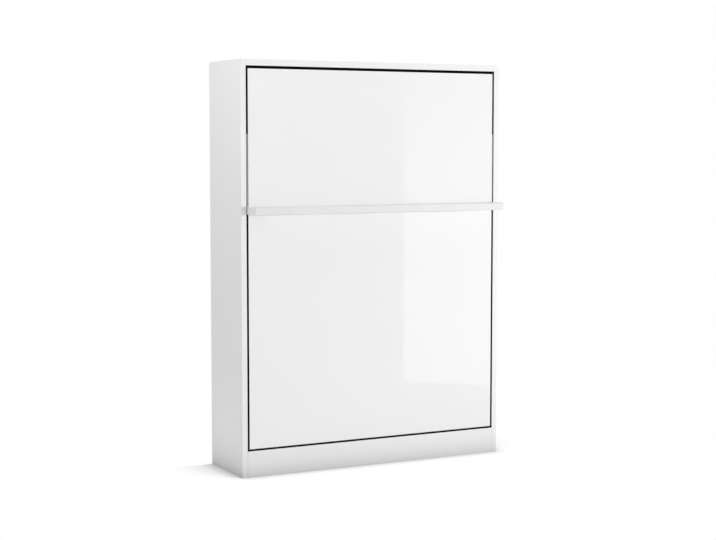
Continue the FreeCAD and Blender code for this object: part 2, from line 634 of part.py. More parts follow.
def slatted_base():
    """Battens and centre beam, the plastic holders on them, and two columns of sprung slats."""
    low = BOX_BOTTOM + BOX_BOARD_THICKNESS
    high = BOX_TOP - BOX_BOARD_THICKNESS
    batten = block(BOX_INNER_X - BATTEN_WIDTH, BOX_INNER_X, FRONT_THICKNESS, SLAT_SEAT, low, high)
    beam = centred_block(CENTRE_BEAM_WIDTH / 2, FRONT_THICKNESS, SLAT_SEAT, low, high)
    inner_end = HOLDER_WALL / 2 + HOLDER_FIT
    outer_end = BOX_INNER_X - HOLDER_WALL - HOLDER_FIT
    slats = []
    holders = []
    for centre in evenly(SLAT_COUNT, low, high):
        z = centre - SLAT_WIDTH / 2
        heights = (z - HOLDER_SIDE_WALL, z + SLAT_WIDTH + HOLDER_SIDE_WALL)
        slats.append(slat(inner_end, outer_end, z))
        side_cap = block(BOX_INNER_X - HOLDER_LENGTH, BOX_INNER_X, SLAT_SEAT, HOLDER_TOP, *heights)
        side_room = slat_pocket(BOX_INNER_X - HOLDER_LENGTH, BOX_INNER_X - HOLDER_WALL, z)
        holders += both_sides(side_cap.cut(side_room))
        reach = HOLDER_WALL / 2 + HOLDER_LENGTH - HOLDER_WALL
        middle_cap = centred_block(reach, SLAT_SEAT, HOLDER_TOP, *heights)
        middle_rooms = both_sides(slat_pocket(HOLDER_WALL / 2, reach, z))
        holders.append(middle_cap.cut(middle_rooms))
    return {
        "left_batten": mirrored(batten),
        "right_batten": batten,
        "centre_beam": beam,
        "left_slats": Part.makeCompound([mirrored(s) for s in slats]),
        "right_slats": Part.makeCompound(slats),
        "slat_holders": Part.makeCompound(holders),
    }


def mattress():
    """Mattress block with rounded corners and softened edges."""
    body = centred_block(MATTRESS_WIDTH / 2, MATTRESS_SEAT, MATTRESS_REAR, MATTRESS_BOTTOM, MATTRESS_TOP)
    body = body.makeFillet(MATTRESS_CORNER, edges_along(body, V(0, 1, 0)))
    rims = [edge for edge in body.Edges if edge.BoundBox.YLength < MATTRESS_HEIGHT / 2]
    return {"mattress": body.makeFillet(MATTRESS_EDGE, rims)}


def straps():
    """Webbing straps across the mattress, tucked beside it, each with a flat buckle."""
    inner_x = MATTRESS_WIDTH / 2 + REST_CLEARANCE
    outer_x = BOX_INNER_X - REST_CLEARANCE
    thickness = outer_x - inner_x
    inner_depth = MATTRESS_REAR + REST_CLEARANCE
    outer_depth = inner_depth + thickness
    tuck_depth = BOX_REAR - STRAP_TUCK
    inner_round = MATTRESS_EDGE + REST_CLEARANCE
    outer_round = inner_round + thickness
    buckle_depths = (outer_depth + REST_CLEARANCE, outer_depth + REST_CLEARANCE + BUCKLE_THICKNESS)
    bands = []
    buckles = []
    for centre in shares_of(STRAP_HEIGHT_SHARES, MATTRESS_BOTTOM, MATTRESS_TOP):
        z = centre - STRAP_WIDTH / 2
        outline = [
            (place(outer_x, tuck_depth, z), 0),
            (place(outer_x, outer_depth, z), outer_round),
            (place(-outer_x, outer_depth, z), outer_round),
            (place(-outer_x, tuck_depth, z), 0),
            (place(-inner_x, tuck_depth, z), 0),
            (place(-inner_x, inner_depth, z), inner_round),
            (place(inner_x, inner_depth, z), inner_round),
            (place(inner_x, tuck_depth, z), 0),
        ]
        bands.append(rounded_face(outline).extrude(V(0, 0, STRAP_WIDTH)))
        half = BUCKLE_LENGTH / 2
        frame_low = z - BUCKLE_MARGIN
        frame_high = z + STRAP_WIDTH + BUCKLE_MARGIN
        frame = centred_block(half, *buckle_depths, frame_low, frame_high)
        slot_depths = (buckle_depths[0] - OVERRUN, buckle_depths[1] + OVERRUN)
        slot_end = half - BUCKLE_MARGIN
        slot = block(slot_end - BUCKLE_SLOT, slot_end, *slot_depths, z, z + STRAP_WIDTH)
        frame = frame.makeFillet(BUCKLE_MARGIN / 2, edges_along(frame, V(0, 1, 0)))
        buckles.append(frame.cut(both_sides(slot)))
    return {"mattress_straps": Part.makeCompound(bands), "strap_buckles": Part.makeCompound(buckles)}


def bed_fittings(screws):
    """Pivot plates and bushes on the side boards, and the brackets that carry the foot frame."""
    pieces = {}
    bush_inner = PIVOT_PIN_RADIUS + RUNNING_CLEARANCE
    sleeve = disc_x(BOX_INNER_X, BED_PLATE_X, BED_PIVOT, bush_inner + BUSH_WALL)
    flange = disc_x(BED_PLATE_X, BED_PLATE_X + BUSH_FLANGE, BED_PIVOT, BUSH_FLANGE_RADIUS)
    bore = disc_x(BOX_INNER_X, BED_PLATE_X + BUSH_FLANGE, BED_PIVOT, bush_inner)
    bush = sleeve.fuse(flange).removeSplitter().cut(bore)
    plate = plate_x(BOX_OUTER_X, BED_PLATE_X, *BED_PLATE, PLATE_CORNER)
    strut_boss = disc_x(BED_PLATE_X, STRUT_EYE_INNER_X - REST_CLEARANCE, STRUT_FOOT, STRUT_BOSS_RADIUS)
    bed_plate = plate.fuse(strut_boss).cut(sleeve)
    bracket = plate_x(BOX_OUTER_X, BED_PLATE_X, *LEG_BRACKET, PLATE_CORNER)
    leg_boss = disc_x(BED_PLATE_X, ARM_INNER_X - REST_CLEARANCE, LEG_PIVOT, LEG_BOSS_RADIUS)
    leg_pin = disc_x(BOX_INNER_X, ARM_OUTER_X + REST_CLEARANCE, LEG_PIVOT, LEG_PIN_RADIUS)
    head_inner = ARM_OUTER_X + REST_CLEARANCE
    leg_head = disc_x(head_inner, (head_inner + CABINET_INNER_X) / 2, LEG_PIVOT, LEG_PIN_HEAD_RADIUS)
    leg_bracket = bracket.fuse(leg_boss).cut(leg_pin)
    for side, name in SIDES:
        pieces[name + "_bed_plate"] = drilled(on_side(bed_plate, side), screws)
        pieces[name + "_leg_bracket"] = drilled(on_side(leg_bracket, side), screws)
    pieces["pivot_bushes"] = Part.makeCompound(both_sides(bush))
    pieces["leg_pivot_pins"] = Part.makeCompound(both_sides(leg_pin.fuse(leg_head).removeSplitter()))
    return pieces


def leg_arm():
    """Flat steel arm: an upright in the side gap, with a toe that closes the bar's end."""
    bottom = BAR_UNDERSIDE_HEIGHT
    bar_top = bottom + BAR_HEIGHT
    head = LEG_PIVOT_HEIGHT + ARM_HEAD
    outline = [
        (place(ARM_INNER_X, BAR_FRONT, bottom), BAR_CORNER),
        (place(ARM_INNER_X, ARM_WIDTH, bottom), ARM_HEEL_CORNER),
        (place(ARM_INNER_X, ARM_WIDTH, head), ARM_HEEL_CORNER),
        (place(ARM_INNER_X, ARM_SETBACK, head), ARM_HEAD_CORNER),
        (place(ARM_INNER_X, ARM_SETBACK, bar_top), ARM_HEAD_CORNER),
        (place(ARM_INNER_X, BAR_FRONT, bar_top), BAR_CORNER),
    ]
    plate = rounded_face(outline).extrude(V(ARM_THICKNESS, 0, 0))
    hole = disc_x(ARM_INNER_X, ARM_OUTER_X, LEG_PIVOT, LEG_PIN_RADIUS + RUNNING_CLEARANCE)
    stud_inner = LINK_X - LINK_EYE_THICKNESS / 2 - LINK_STUD_TAIL
    stud = disc_x(stud_inner, ARM_INNER_X, LINK_HEAD, LINK_STUD_RADIUS)
    return plate.cut(hole).fuse(stud)


def foot_frame():
    """Tube bar, the two arms and the pads it stands on."""
    low = BAR_UNDERSIDE_HEIGHT
    high = low + BAR_HEIGHT
    tube = centred_block(ARM_INNER_X, BAR_FRONT, BAR_REAR, low, high)
    tube = tube.makeFillet(BAR_CORNER, edges_along(tube, V(1, 0, 0)))
    bore_depths = (BAR_FRONT + BAR_WALL, BAR_REAR - BAR_WALL)
    bore = centred_block(ARM_INNER_X, *bore_depths, low + BAR_WALL, high - BAR_WALL)
    bore = bore.makeFillet(BAR_CORNER - BAR_WALL, edges_along(bore, V(1, 0, 0)))
    middle = (BAR_FRONT + BAR_REAR) / 2
    pad_depths = (middle - PAD_WIDTH / 2, middle + PAD_WIDTH / 2)
    pads = []
    for x in evenly(PAD_COUNT, -ARM_INNER_X, ARM_INNER_X):
        pad = block(x - PAD_LENGTH / 2, x + PAD_LENGTH / 2, *pad_depths, low - PAD_THICKNESS, low)
        pads.append(pad.makeFillet(PAD_THICKNESS, edges_along(pad, V(0, 0, 1))))
    arm = leg_arm()
    return {
        "foot_bar": tube.cut(bore),
        "left_leg_arm": mirrored(arm),
        "right_leg_arm": arm,
        "foot_pads": Part.makeCompound(pads),
    }


def link_rod():
    """Rod with a flat eye at each end, from the cabinet's stud to the arm's stud."""
    half = LINK_EYE_THICKNESS / 2
    rod = slanted_bar(LINK_X, LINK_FOOT, LINK_HEAD, LINK_ROD_RADIUS)
    eyes = [disc_x(LINK_X - half, LINK_X + half, end, LINK_EYE_RADIUS) for end in (LINK_FOOT, LINK_HEAD)]
    ends = (LINK_X - LINK_EYE_RADIUS, LINK_X + LINK_EYE_RADIUS)
    foot_hole = disc_x(*ends, LINK_FOOT, LINK_STUD_RADIUS + RUNNING_CLEARANCE)
    head_hole = disc_x(*ends, LINK_HEAD, LINK_STUD_RADIUS + OPEN_PIVOT_CLEARANCE)
    return rod.fuse(eyes).cut([foot_hole, head_hole])


def strut_lengths():
    """Length between the strut's studs with the bed closed and open."""
    return math.dist(STRUT_TOP, STRUT_FOOT), math.dist(STRUT_TOP, STRUT_FOOT_OPEN)


def strut_cylinder():
    """Gas cylinder hung from the cabinet's stud, with a closed head and a guide for the rod."""
    opened = strut_lengths()[1]
    head_end = along(STRUT_TOP, STRUT_FOOT, STRUT_NECK)
    bore_start = along(STRUT_TOP, STRUT_FOOT, STRUT_NECK + STRUT_CAP)
    mouth_distance = opened - STRUT_EYE_RADIUS - STRUT_END_ROOM
    mouth = along(STRUT_TOP, STRUT_FOOT, mouth_distance)
    bore_end = along(STRUT_TOP, STRUT_FOOT, mouth_distance - STRUT_GUIDE)
    eye = disc_x(STRUT_EYE_INNER_X, STRUT_EYE_OUTER_X, STRUT_TOP, STRUT_EYE_RADIUS)
    neck = slanted_bar(STRUT_X, STRUT_TOP, head_end, STRUT_EYE_THICKNESS / 2)
    barrel = slanted_bar(STRUT_X, head_end, mouth, STRUT_RADIUS)
    bore = slanted_bar(STRUT_X, bore_start, bore_end, STRUT_RADIUS - STRUT_WALL)
    guide = slanted_bar(STRUT_X, bore_start, STRUT_FOOT, STRUT_ROD_RADIUS + RUNNING_CLEARANCE)
    stud = disc_x(STRUT_EYE_INNER_X, STRUT_EYE_OUTER_X, STRUT_TOP, STRUT_STUD_RADIUS + RUNNING_CLEARANCE)
    return barrel.fuse([eye, neck]).cut([bore, guide, stud])


def strut_rod():
    """Piston rod with its lower eye and bolt; the bolt's tail meets the bed plate's boss."""
    opened = strut_lengths()[1]
    mouth_distance = opened - STRUT_EYE_RADIUS - STRUT_END_ROOM
    piston_end = mouth_distance - STRUT_GUIDE - STRUT_PISTON_CLEARANCE
    top = along(STRUT_TOP, STRUT_FOOT, piston_end - STRUT_PISTON)
    rod = slanted_bar(STRUT_X, top, STRUT_FOOT, STRUT_ROD_RADIUS)
    bore_radius = STRUT_RADIUS - STRUT_WALL
    piston = slanted_bar(
        STRUT_X, top, along(STRUT_TOP, STRUT_FOOT, piston_end), bore_radius - STRUT_PISTON_CLEARANCE
    )
    eye = disc_x(STRUT_EYE_INNER_X, STRUT_EYE_OUTER_X, STRUT_FOOT, STRUT_EYE_RADIUS)
    bolt_end = STRUT_EYE_OUTER_X + STRUT_BOLT_HEAD
    bolt = disc_x(STRUT_EYE_OUTER_X, bolt_end, STRUT_FOOT, STRUT_BOLT_HEAD_RADIUS)
    return rod.fuse([piston, eye, bolt])


def linkage():
    """Link rods and gas struts of both sides."""
    pieces = {}
    shapes = {"link_rod": link_rod(), "strut_cylinder": strut_cylinder(), "strut_rod": strut_rod()}
    for name, shape in shapes.items():
        for side, side_name in SIDES:
            pieces[side_name + "_" + name] = on_side(shape, side)
    return pieces


def assembly():
    """Every piece by its name."""
    in_cabinet = cabinet_screws()
    in_bed = bed_screws()
    cams = cam_fittings()
    pieces = {
        "cabinet_screws": Part.makeCompound(in_cabinet),
        "bed_screws": Part.makeCompound(in_bed),
        "cam_fittings": Part.makeCompound(cams),
    }
    pieces.update(cabinet_boards(in_cabinet, cams))
    pieces.update(cabinet_back())
    pieces.update(cabinet_trim())
    pieces.update(cabinet_fittings(in_cabinet))
    pieces.update(bed_front())
    pieces.update(bed_box(in_bed))
    pieces.update(panel_angles(in_bed))
    pieces.update(slatted_base())
    pieces.update(mattress())
    pieces.update(straps())
    pieces.update(bed_fittings(in_bed))
    pieces.update(foot_frame())
    pieces.update(linkage())
    return pieces


os.makedirs("parts", exist_ok=True)
for node, shape in assembly().items():
    shape.exportStep("parts/" + node + ".step")
print("cabinet", 2 * CABINET_OUTER_X, "wide,", round(CABINET_DEPTH, 1), "deep,", CABINET_HEIGHT, "high")
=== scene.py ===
"""Looks of the cabinet bed: finishes for all pieces, a quilted mattress with straps, and a studio.

Metres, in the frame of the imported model: +X right seen from the front, +Y into the wall, +Z up.
"""
import json
import math

import bpy
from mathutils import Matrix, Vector


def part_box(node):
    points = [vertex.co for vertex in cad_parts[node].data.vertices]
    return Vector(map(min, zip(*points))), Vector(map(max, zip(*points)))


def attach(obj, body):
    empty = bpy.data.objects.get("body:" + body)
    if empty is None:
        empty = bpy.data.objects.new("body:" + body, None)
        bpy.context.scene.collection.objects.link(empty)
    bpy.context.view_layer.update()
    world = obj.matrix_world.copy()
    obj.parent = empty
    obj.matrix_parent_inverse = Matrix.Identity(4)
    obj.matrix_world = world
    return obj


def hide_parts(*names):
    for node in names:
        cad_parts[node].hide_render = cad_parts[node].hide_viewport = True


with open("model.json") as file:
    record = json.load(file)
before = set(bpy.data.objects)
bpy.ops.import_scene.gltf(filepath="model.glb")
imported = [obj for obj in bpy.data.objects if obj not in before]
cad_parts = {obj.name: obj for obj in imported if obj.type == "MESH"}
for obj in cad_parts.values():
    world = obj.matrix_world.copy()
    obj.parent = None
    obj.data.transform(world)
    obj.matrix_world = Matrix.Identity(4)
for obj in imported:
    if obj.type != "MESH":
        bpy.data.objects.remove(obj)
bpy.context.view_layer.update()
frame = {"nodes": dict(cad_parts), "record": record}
bpy.ops.object.select_all(action="DESELECT")

# Places read from the frame
FRONT_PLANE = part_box("front_panel")[0].y
SIDE_LOW, SIDE_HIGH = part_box("left_side_panel")
BACK_LOW, BACK_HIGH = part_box("left_back_panel")
REAR_PLANE = SIDE_HIGH.y
BACK_MIDDLE = (BACK_LOW.y + BACK_HIGH.y) / 2
CABINET_HALF_WIDTH = -SIDE_LOW.x

# How far in from a face its own finish goes
RAW_EDGE_DEPTH = 0.0005
GLOSS_DEPTH = 0.001

# Camera of the photograph
CAMERA_PLACE = (-3.960, FRONT_PLANE - 7.391, 1.744)
CAMERA_TILT = 85.37
CAMERA_TURN = -27.56
CAMERA_LENS = 78.2
CAMERA_SENSOR = 36.0

# Studio light: each lamp's place, what it faces, its size and its power
SKY_STRENGTH = 0.50
LAMPS = {
    "right_softbox": ((8.5, -8.0, 1.76), (0.0, FRONT_PLANE, 1.2), (5.2, 0.75), 690.0),
    "left_softbox": ((-10.0, -11.0, 1.9), (-0.4, FRONT_PLANE, 1.2), (5.2, 1.0), 96.0),
    "side_softbox": ((-2.6, -0.55, 3.15), (-CABINET_HALF_WIDTH, 0.0, 1.9), (1.2, 1.2), 22.0),
    "low_softbox": ((-1.25, 0.1, 0.16), (-CABINET_HALF_WIDTH, 0.1, 0.16), (0.4, 0.12), 0.17),
}

# Floor, and the painted shade round the cabinet in the light the floor throws back: how far out it
# begins to lift and where it is gone
FLOOR_SIZE = 60.0
FLOOR_WHITE = 0.96
THROW_START = 0.055
THROW_FULL = 0.135

# Shades on the floor: reach, darkest level, and the shares of open sky between which they fade
SIDE_SHADE = {"reach": 0.34, "darkest": 0.42, "start": 0.4, "end": 0.9}
CREASE_SHADE = {"reach": 0.08, "darkest": 0.7, "start": 0.5, "end": 1.0}
OVERHEAD_SHADE = {"reach": 0.8, "darkest": 0.3, "start": 0.03, "end": 0.46}
# Which way the side shade looks for open sky: along Y before and behind the rear plane, and up
SIDE_SHADE_LEAN = {"before": -0.9, "behind": 0.5, "up": 0.44}

# Upright softbox that the gloss front mirrors, by the ends of its foot
CARD_FOOT_LEFT = (1.58, FRONT_PLANE - 2.5)
CARD_FOOT_RIGHT = (2.80, FRONT_PLANE - 1.46)
CARD_HEIGHT = 2.6
CARD_STRENGTH = 2.4
CARD_FADE_SHARE = 0.45

# Mattress cover: quilted in diamonds on both faces and in channels round the border
MATTRESS_LOW, MATTRESS_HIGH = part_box("mattress")
MATTRESS_MIDDLE = (MATTRESS_LOW + MATTRESS_HIGH) / 2
COVER_CORNER = 0.045
BORDER_SLACK = 0.005
FACE_SLACK = 0.008
COVER_COLUMNS = 80
COVER_ROWS = 120
BORDER_ROWS = 12
DIAMOND_CELLS = 8
CHANNEL_ROWS = 4
COVER_PRESSURE = 12.0
COVER_EASE = 0.02
SWELL_FRAMES = 20
TAPE_RADIUS = 0.0045
TAPE_ROUND_STEPS = 3

# Webbing straps round the mattress, and their buckles
STRAP_LOW, STRAP_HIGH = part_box("mattress_straps")
STRAP_ROOM = 0.0024
STRAP_WIDTH = 0.050
STRAP_THICKNESS = 0.0015
STRAP_BEND = 0.0155
STRAP_BEND_STEPS = 8
STRAP_WELD = 0.00001
MIRROR_WELD = 0.0001
CHEVRON_WIDTH = STRAP_WIDTH / 8
RIB_PITCH = 0.0022
BUCKLE_LOW, BUCKLE_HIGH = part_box("strap_buckles")
BUCKLE_RIM = 0.006
BUCKLE_SLOT = 0.007
BUCKLE_COLUMNS = 5
BUCKLE_ROWS = 3
BUCKLE_BEVEL = 0.0012
BUCKLE_BEVEL_STEPS = 3
SMOOTH_ANGLE = math.radians(40)


class Finish:
    """A procedural finish, put together socket by socket on one shader."""

    def __init__(self, name, roughness=0.5, metallic=0.0):
        self.material = bpy.data.materials.new(name)
        self.material.use_nodes = True
        self.tree = self.material.node_tree
        self.shader = self.tree.nodes["Principled BSDF"]
        self.set("Roughness", roughness)
        self.set("Metallic", metallic)
        source = self.add("ShaderNodeTexCoord")
        self.place = source.outputs["Object"]
        self.uv = source.outputs["UV"]

    def feed(self, socket, value):
        """Links a socket to another node's output, or sets the socket's own value."""
        if isinstance(value, bpy.types.NodeSocket):
            self.tree.links.new(value, socket)
        else:
            socket.default_value = value

    def set(self, socket, value):
        """Feeds one of the shader's sockets."""
        self.feed(self.shader.inputs[socket], value)

    def add(self, kind, values=None, **settings):
        """New node with its settings and its inputs."""
        node = self.tree.nodes.new(kind)
        for name, value in settings.items():
            setattr(node, name, value)
        for socket, value in (values or {}).items():
            self.feed(node.inputs[socket], value)
        return node

    def scaled(self, scale):
        """Coordinates stretched along each axis."""
        node = self.add("ShaderNodeMapping", {"Vector": self.place, "Scale": scale})
        return node.outputs["Vector"]

    def noise(self, scale, detail=2.0, vector=None, distortion=0.0):
        """Soft noise with so many grains to a metre."""
        values = {"Scale": scale, "Detail": detail, "Distortion": distortion}
        node = self.add("ShaderNodeTexNoise", {"Vector": vector or self.place, **values})
        return node.outputs["Fac"]

    def cells(self, scale, output="Distance", **values):
        """Cell pattern with so many cells to a metre."""
        node = self.add("ShaderNodeTexVoronoi", {"Vector": self.place, "Scale": scale, **values})
        return node.outputs[output]

    def math(self, operation, first, second=0.0):
        """One sum on values."""
        return self.add("ShaderNodeMath", {0: first, 1: second}, operation=operation).outputs[0]

    def axis(self, name, vector=None):
        """One coordinate."""
        return self.add("ShaderNodeSeparateXYZ", {0: vector or self.place}).outputs[name]

    def span(self, value, low, high, start=0.0, end=1.0):
        """A value moved from the range start to end into the range low to high."""
        values = {"Value": value, "From Min": start, "From Max": end, "To Min": low, "To Max": high}
        return self.add("ShaderNodeMapRange", values).outputs["Result"]

    def waves(self, value, pitch):
        """Waves between 0 and 1 along a value, so far from crest to crest."""
        phase = self.math("MULTIPLY", value, 2 * math.pi / pitch)
        return self.span(self.math("SINE", phase), low=0.0, high=1.0, start=-1.0, end=1.0)

    def mix(self, share, first, second):
        """Colour between two colours."""
        node = self.add("ShaderNodeMix", {0: share, 6: first, 7: second}, data_type="RGBA")
        return node.outputs[2]

    def open_sky(self, reach, darkest, start, end, **values):
        """Brightness by how much of the sky is open within a reach, from the darkest up to 1."""
        node = self.add("ShaderNodeAmbientOcclusion", {"Distance": reach, **values})
        return self.span(node.outputs["AO"], darkest, 1.0, start, end)

    def bump(self, height, depth):
        """Fine relief of a real depth."""
        node = self.add("ShaderNodeBump", {"Height": height, "Distance": depth, "Strength": 1.0})
        self.set("Normal", node.outputs["Normal"])

    def surface(self, output):
        """Puts another shader's output in the place of the standard shader."""
        self.tree.nodes.remove(self.shader)
        self.tree.links.new(output, self.tree.nodes["Material Output"].inputs["Surface"])


def grey(value):
    """Neutral colour."""
    return (value, value, value, 1.0)


def colour(red, green, blue):
    """Opaque colour."""
    return (red, green, blue, 1.0)


CHIPBOARD_LIGHT = colour(0.52, 0.37, 0.22)
CHIPBOARD_DARK = colour(0.26, 0.16, 0.085)
HARDBOARD_LIGHT = colour(0.46, 0.30, 0.17)
HARDBOARD_MIDDLE = colour(0.36, 0.22, 0.12)
HARDBOARD_DARK = colour(0.20, 0.11, 0.055)
ZINC_LIGHT = colour(0.68, 0.68, 0.67)
ZINC_DARK = colour(0.56, 0.57, 0.58)
ZINC_LINE = grey(0.48)
PINE_EARLY = colour(0.70, 0.50, 0.29)
PINE_LATE = colour(0.50, 0.30, 0.14)
BEECH_EARLY = colour(0.66, 0.45, 0.27)
BEECH_LATE = colour(0.52, 0.33, 0.18)
KNIT_LIGHT = colour(0.82, 0.81, 0.785)
KNIT_DARK = colour(0.785, 0.775, 0.75)
MESH_LIGHT = colour(0.50, 0.51, 0.53)
MESH_DARK = colour(0.30, 0.31, 0.33)
TAPE_LIGHT = colour(0.74, 0.74, 0.72)
TAPE_DARK = colour(0.60, 0.60, 0.59)
WEBBING_LIGHT = grey(0.085)
WEBBING_DARK = grey(0.035)
WEBBING_FUZZ = grey(0.06)


def white_board():
    """Satin white board with a fine pearl emboss; its rear edge is raw chipboard."""
    finish = Finish("white_board")
    clouds = finish.noise(scale=5.0, detail=3.0)
    pearl = finish.noise(scale=1300.0, detail=1.0)
    white = finish.mix(clouds, grey(0.850), grey(0.868))
    chips = finish.mix(finish.cells(420.0, "Color"), CHIPBOARD_DARK, CHIPBOARD_LIGHT)
    raw = finish.math("GREATER_THAN", finish.axis("Y"), REAR_PLANE - RAW_EDGE_DEPTH)
    finish.set("Base Color", finish.mix(raw, white, chips))
    satin = finish.span(finish.noise(scale=60.0), low=0.40, high=0.50)
    finish.set("Roughness", finish.span(raw, low=satin, high=0.9))
    finish.bump(pearl, depth=0.00002)
    return finish.material


def white_hardboard():
    """Thin back: white lacquer inside, bare pressed fibre on the rear."""
    finish = Finish("white_hardboard")
    fibres = finish.noise(scale=260.0, detail=4.0, distortion=1.5)
    white = finish.mix(finish.noise(scale=9.0), grey(0.82), grey(0.85))
    patches = finish.noise(scale=7.0, detail=5.0, distortion=0.6)
    clouds = finish.span(patches, low=0.0, high=0.7, start=0.3, end=0.7)
    flecks = finish.span(finish.cells(95.0), low=0.35, high=0.0, start=0.02, end=0.16)
    pressed = finish.mix(clouds, HARDBOARD_LIGHT, HARDBOARD_MIDDLE)
    dark = finish.math("ADD", flecks, finish.math("MULTIPLY", fibres, 0.6))
    bare = finish.mix(dark, pressed, HARDBOARD_DARK)
    rear = finish.math("GREATER_THAN", finish.axis("Y"), BACK_MIDDLE)
    finish.set("Base Color", finish.mix(rear, white, bare))
    finish.set("Roughness", finish.span(rear, low=0.55, high=0.72))
    finish.bump(fibres, depth=0.00005)
    return finish.material


def gloss_front():
    """High-gloss white front with a faint orange peel; the face towards the slats is satin."""
    finish = Finish("gloss_front")
    peel = finish.noise(scale=170.0, detail=1.0)
    white = finish.mix(finish.noise(scale=3.0), grey(0.868), grey(0.876))
    finish.set("Base Color", white)
    inside = finish.math("GREATER_THAN", finish.axis("Y"), FRONT_PLANE + GLOSS_DEPTH)
    polished = finish.span(peel, low=0.025, high=0.04)
    finish.set("Roughness", finish.span(inside, low=polished, high=0.45))
    finish.bump(peel, depth=0.000003)
    return finish.material


def white_powder_coat():
    """Satin powder coat on steel."""
    finish = Finish("white_powder_coat")
    peel = finish.noise(scale=700.0)
    white = finish.mix(finish.noise(scale=11.0), grey(0.775), grey(0.795))
    finish.set("Base Color", white)
    finish.set("Roughness", finish.span(peel, low=0.28, high=0.38))
    finish.bump(peel, depth=0.00003)
    return finish.material


def moulded_plastic(name, dark, thrown_colour_painted_dark, smooth, rough, grain=900.0, specular=0.5):
    """Moulded plastic or rubber with a fine spark-eroded grain."""
    finish = Finish(name)
    finish.set("Specular IOR Level", specular)
    texture = finish.noise(scale=grain)
    clouds = finish.noise(scale=40.0, detail=3.0)
    finish.set("Base Color", finish.mix(clouds, grey(dark), grey(thrown_colour_painted_dark)))
    finish.set("Roughness", finish.span(texture, low=smooth, high=rough))
    finish.bump(texture, depth=0.00003)
    return finish.material


def zinc_steel():
    """Zinc-plated pressed steel with a faint spangle and rolling lines."""
    finish = Finish("zinc_steel", metallic=1.0)
    spangle = finish.cells(220.0, "Color")
    lines = finish.noise(scale=1.0, detail=3.0, vector=finish.scaled((900.0, 900.0, 25.0)))
    tone = finish.mix(spangle, ZINC_DARK, ZINC_LIGHT)
    faint = finish.span(lines, low=0.0, high=0.4)
    finish.set("Base Color", finish.mix(faint, tone, ZINC_LINE))
    finish.set("Roughness", finish.span(lines, low=0.28, high=0.46))
    finish.bump(lines, depth=0.00001)
    return finish.material


def turned_steel(name, tone, smooth, rough):
    """Turned or drawn steel: fine lines round or along the piece."""
    finish = Finish(name, metallic=1.0)
    lines = finish.noise(scale=1.0, vector=finish.scaled((2500.0, 60.0, 60.0)))
    finish.set("Base Color", finish.mix(lines, grey(tone * 0.9), grey(tone)))
    finish.set("Roughness", finish.span(lines, low=smooth, high=rough))
    return finish.material


def black_enamel():
    """Gloss black enamel on the gas cylinders."""
    finish = Finish("black_enamel")
    peel = finish.noise(scale=420.0, detail=1.0)
    black = finish.mix(finish.noise(scale=30.0), grey(0.012), grey(0.02))
    finish.set("Base Color", black)
    finish.set("Roughness", finish.span(peel, low=0.10, high=0.18))
    finish.bump(peel, depth=0.00001)
    return finish.material


def timber(name, along, early, late, ring_width, pore_depth):
    """Planed timber whose grain runs along one axis, with growth rings and pores."""
    finish = Finish(name)
    stretch = [1.0, 1.0, 1.0]
    stretch["XYZ".index(along)] = 0.06
    vector = finish.scaled(stretch)
    across = finish.axis("Y" if along != "Y" else "X", vector)
    wander = finish.math("MULTIPLY", finish.noise(scale=14.0, detail=3.0, vector=vector), 0.03)
    rings = finish.waves(finish.math("ADD", across, wander), ring_width)
    pores = finish.noise(scale=900.0, vector=vector)
    open_pores = finish.span(pores, low=0.0, high=0.5, start=0.45, end=0.8)
    tone = finish.mix(rings, early, late)
    finish.set("Base Color", finish.mix(open_pores, tone, late))
    finish.set("Roughness", finish.span(pores, low=0.42, high=0.6))
    finish.bump(pores, depth=pore_depth)
    return finish.material


def mattress_ticking():
    """Knitted off-white ticking on the faces, grey spacer mesh round the border."""
    finish = Finish("mattress_ticking", roughness=0.9)
    finish.set("Sheen Weight", 0.15)
    stitch = finish.cells(420.0, Vector=finish.uv, Randomness=0.35)
    pattern = finish.noise(scale=55.0, vector=finish.uv, distortion=0.8)
    sprigs = finish.span(pattern, low=0.0, high=1.0, start=0.46, end=0.58)
    knit = finish.mix(sprigs, KNIT_DARK, KNIT_LIGHT)
    threads = finish.span(stitch, low=0.0, high=1.0, start=0.1, end=0.5)
    mesh = finish.mix(threads, MESH_DARK, MESH_LIGHT)
    border = finish.add("ShaderNodeAttribute", attribute_name="border").outputs["Fac"]
    finish.set("Base Color", finish.mix(finish.math("GREATER_THAN", border, 0.5), knit, mesh))
    relief = finish.math("ADD", stitch, finish.math("MULTIPLY", sprigs, 0.6))
    finish.bump(relief, depth=0.0004)
    return finish.material


def binding_tape():
    """Woven twill tape that binds the cover's rims."""
    finish = Finish("binding_tape", roughness=0.85)
    twill = finish.noise(scale=1.0, vector=finish.scaled((900.0, 350.0, 900.0)))
    finish.set("Base Color", finish.mix(twill, TAPE_DARK, TAPE_LIGHT))
    finish.bump(twill, depth=0.0003)
    return finish.material


def strap_webbing():
    """Dark grey webbing: weft ribs across it and a chevron of warp threads along it."""
    finish = Finish("strap_webbing", roughness=0.75)
    finish.set("Sheen Weight", 0.1)
    run = finish.math("ADD", finish.axis("X"), finish.axis("Y"))
    chevron = finish.math("PINGPONG", finish.axis("Z"), CHEVRON_WIDTH)
    weave = finish.waves(finish.math("ADD", run, chevron), RIB_PITCH)
    fuzz = finish.math("MULTIPLY", finish.noise(scale=1500.0), 0.5)
    tone = finish.mix(weave, WEBBING_DARK, WEBBING_LIGHT)
    finish.set("Base Color", finish.mix(fuzz, tone, WEBBING_FUZZ))
    finish.bump(weave, depth=0.0003)
    return finish.material


def select_only(piece):
    """Selects one piece and makes it the active one."""
    bpy.ops.object.select_all(action="DESELECT")
    piece.select_set(True)
    bpy.context.view_layer.objects.active = piece


